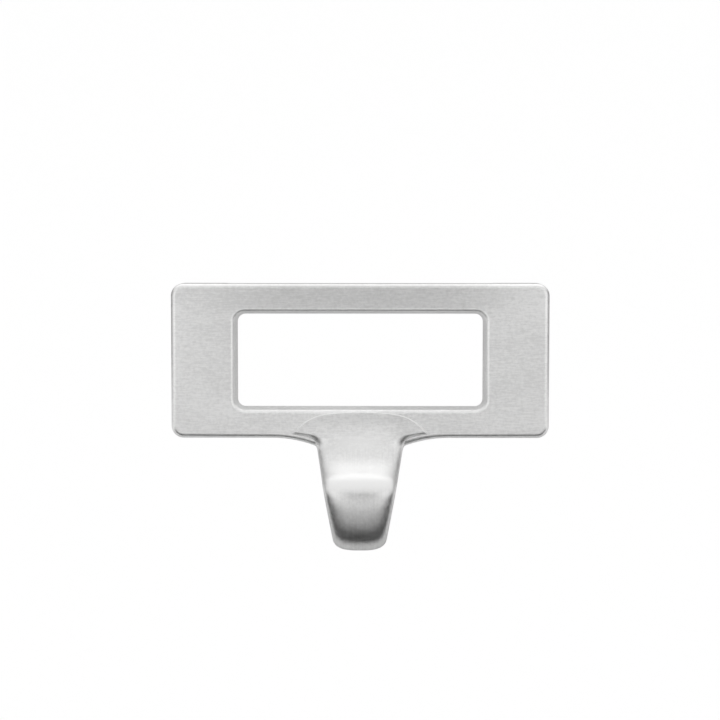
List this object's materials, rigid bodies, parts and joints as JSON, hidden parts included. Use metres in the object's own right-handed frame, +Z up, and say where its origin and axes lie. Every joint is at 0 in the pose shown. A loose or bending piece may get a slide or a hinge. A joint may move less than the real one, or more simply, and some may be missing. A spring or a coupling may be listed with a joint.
{
  "type": "label frame pull",
  "caption": "Satin metal label frame with a rounded window and a tapering, curled finger pull below it, cast as one piece.",
  "frame": {"origin": "midway between the two screw holes, in the flat back face that lies on the drawer front", "axes": "+X across the drawer front, +Z up, +Y into the drawer front, so the pull faces -Y"},
  "size_m": [0.077, 0.0148, 0.0539],
  "materials": {
    "satin_nickel": "satin, finely brushed nickel plating on a zinc casting"
  },
  "bodies": {
    "root": {"label_frame_pull": "satin_nickel"}
  },
  "joints": []
}
